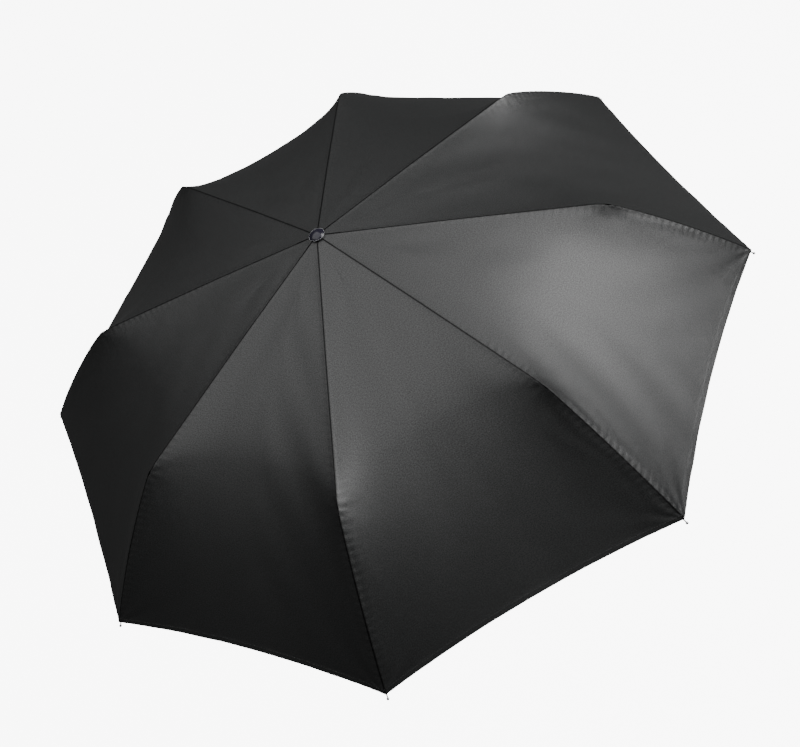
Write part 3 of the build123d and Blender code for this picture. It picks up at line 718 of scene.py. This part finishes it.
def strip(first, length, width, low, thick, rows, columns):
    """A thin soft-edged strip laid on the cloth beside the strap's rib."""
    top, bottom, flat, ups = [], [], [], []
    middle = STRAP_OFF + STRAP_W / 2
    for i in range(rows + 1):
        down = first + length * i / rows
        to_end = min(i, rows - i) / rows * length
        wave = 0.0004 * math.sin(down * 95)
        line = [[], [], [], []]
        for j in range(columns + 1):
            across = width * (j / columns - 0.5)
            inset = max(0.0, 1 - to_end / 0.004)
            across *= 1 - 0.12 * inset**2
            point, n = on_cloth(down, middle + across)
            edge = min(1.0, 4 * min(j, columns - j) / columns + 0.35)
            line[0].append(point + n * (low + wave + thick * (0.75 + 0.25 * edge)))
            line[1].append(point + n * (low + wave + thick * 0.1 * (1 - edge)))
            line[2].append((across, down))
            line[3].append(n)
        for store, values in zip((top, bottom, flat, ups), line):
            store.append(values)
    return [np.array(v)[::-1] for v in (top, bottom, flat, ups)]


top, bottom, flat, ups = strip(STRAP_FROM, STRAP_LEN, STRAP_W, STRAP_LIFT, STRAP_T, 60, 12)
mesh = shell_mesh(
    "tie_strap_cloth",
    turned(top, STRAP_RIB, STRAP_SIDE),
    turned(bottom, STRAP_RIB, STRAP_SIDE),
    turned(ups, STRAP_RIB, STRAP_SIDE),
    flat,
    True,
    False,
    np.zeros(flat.shape[:2]),
)
strap = place("tie_strap_cloth", mesh, pongee)
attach(strap, f"outer_rib_{STRAP_RIB}")
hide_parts("tie_strap")
top, bottom, flat, ups = strip(
    STRAP_FROM + STRAP_LEN - PATCH_LEN,
    PATCH_LEN - 0.002,
    STRAP_W - 0.003,
    STRAP_LIFT + STRAP_T,
    PATCH_T,
    16,
    10,
)
mesh = shell_mesh(
    "tie_patch_tape",
    turned(top, STRAP_RIB, STRAP_SIDE),
    turned(bottom, STRAP_RIB, STRAP_SIDE),
    turned(ups, STRAP_RIB, STRAP_SIDE),
    flat,
    True,
    False,
    np.zeros(flat.shape[:2]),
)
patch = place("tie_patch_tape", mesh, hook_tape)
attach(patch, f"outer_rib_{STRAP_RIB}")
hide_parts("tie_patch")
for piece in (strap, patch):
    start = BASE[SPLITS[3], 0]
    middle = (BASE[SPLITS[2], -1] + BASE[SPLITS[3], -1]) / 2
    away = (middle - start) - np.dot(middle - start, RUN[2]) * RUN[2]
    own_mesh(piece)

# ---------------------------------------------------------------- metal and plastic
# The inner ribs, struts, wires, tubes, crown, runner, grip and cap keep their CAD shapes.
# Making gives the eye: dipped black steel, bright plated tube, moulded nylon, soft-touch rubber.
def plain(name, colour, roughness, metallic=0.0, bump=0.0, grain=400.0, **more):
    """A plain finish with a little grain."""
    material, tree = new_material(name)
    where = add(tree, "ShaderNodeTexCoord")
    noise = add(
        tree,
        "ShaderNodeTexNoise",
        {"Scale": grain, "Detail": 3.0},
        {"Vector": where.outputs["Object"]},
    )
    rough = add(
        tree,
        "ShaderNodeMapRange",
        {"To Min": roughness * 0.88, "To Max": min(1.0, roughness * 1.12)},
        {"Value": noise.outputs["Fac"]},
    )
    lumps = add(
        tree,
        "ShaderNodeBump",
        {"Strength": bump, "Distance": 0.0002},
        {"Height": noise.outputs["Fac"]},
    )
    settings = {"Base Color": linear(colour), "Metallic": metallic, **more}
    links = {"Roughness": rough.outputs[0], "Normal": lumps.outputs[0]}
    finish_material(tree, add(tree, "ShaderNodeBsdfPrincipled", settings, links))
    return material


FINISHES = {
    "black_steel": plain("black e-coated steel", "#151517", 0.36, 0.25, 0.05),
    "spring_wire": plain("drawn spring wire", "#8a8b8d", 0.3, 1.0),
    "plated_tube": plain("nickel-plated steel tube", "#b9babd", 0.16, 1.0, 0.0, 900.0),
    "black_nylon": plain("moulded black nylon", "#1a1a1b", 0.46, 0.0, 0.12, 700.0),
    "grip_rubber": plain(
        "soft-touch rubber coating", "#1b1b1c", 0.6, 0.0, 0.2, 1500.0, **{"Sheen Weight": 0.15}
    ),
    "cap_gloss": plain("gloss black cap", "#1b1924", 0.2, 0.0, 0.0, 400.0, **{"Specular IOR Level": 0.35}),
    "cap_chrome": plain("chromed cap rim", "#c6c7ca", 0.12, 1.0),
}
SLOTS = {
    "black_steel": ("top_rib_", "middle_rib_", "strut_"),
    "spring_wire": ("link_wire_", "crown_ring", "runner_ring"),
    "plated_tube": ("lower_tube", "middle_tube", "upper_tube"),
    "black_nylon": ("handle_core", "handle_end_cap", "crown", "runner"),
    "grip_rubber": ("handle_grip",),
    "cap_gloss": ("cap",),
    "cap_chrome": ("cap_rim",),
}
NYLON = ("_collar", "_bush", "runner_latch")
for name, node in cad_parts.items():
    fits = [
        (len(start), kind)
        for kind, starts in SLOTS.items()
        for start in starts
        if name.startswith(start)
    ]
    if not fits or node.hide_render:
        continue
    kind = "black_nylon" if name.endswith(NYLON) else max(fits)[1]
    node.data.materials.clear()
    node.data.materials.append(FINISHES[kind])

# ---------------------------------------------------------------- floor, camera and lights
# A pale floor well below the object, with two broad soft lights: one from the right rear, one overhead.
FLOOR_Z = -1.05
floor_paint, tree = new_material("pale floor")
floor_look = add(
    tree,
    "ShaderNodeBsdfPrincipled",
    {
        "Base Color": linear("#f4f4f4"),
        "Roughness": 0.9,
        "Emission Color": linear("#ffffff"),
        "Emission Strength": 8.0,
    },
)
finish_material(tree, floor_look)
mesh = bpy.data.meshes.new("floor")
mesh.from_pydata([(-9, -9, FLOOR_Z), (9, -9, FLOOR_Z), (9, 9, FLOOR_Z), (-9, 9, FLOOR_Z)], [], [(0, 1, 2, 3)])
floor = place("floor", mesh, floor_paint)
floor.visible_glossy = floor.visible_diffuse = False  # the paper under it casts no light back up

camera_data = bpy.data.cameras.new("camera")
camera_data.lens = 50.72
camera = bpy.data.objects.new("camera", camera_data)
camera.location = (0.3905, -0.9344, 1.1217 + CORNER_Z)
camera.rotation_euler = [math.radians(v) for v in (35.843, 19.052, -1.730)]
bpy.context.scene.collection.objects.link(camera)
bpy.context.scene.camera = camera


def softbox(name, azimuth, elevation, distance, size, power, colour="#ffffff"):
    """A square soft light round the canopy; azimuth is anticlockwise from +X."""
    a, e = math.radians(azimuth), math.radians(elevation)
    aim = Vector((0, 0, CORNER_Z + 0.12))
    away = Vector((math.cos(a) * math.cos(e), math.sin(a) * math.cos(e), math.sin(e)))
    data = bpy.data.lights.new(name, "AREA")
    data.shape, data.size, data.size_y = "RECTANGLE", size[0], size[1]
    data.energy = power
    data.color = linear(colour)[:3]
    lamp = bpy.data.objects.new(name, data)
    lamp.location = aim + away * distance
    lamp.rotation_mode = "QUATERNION"
    lamp.rotation_quaternion = (-away).to_track_quat("-Z", "Y")
    bpy.context.scene.collection.objects.link(lamp)
    return lamp


softbox("key", 12, 38, 2.6, (1.9, 1.7), 105)
softbox("overhead", 140, 78, 2.6, (3.3, 3.3), 77)

world = bpy.data.worlds.new("studio")
world.use_nodes = True
world.node_tree.nodes["Background"].inputs["Color"].default_value = linear("#ffffff")
world.node_tree.nodes["Background"].inputs["Strength"].default_value = 0.08
bpy.context.scene.world = world
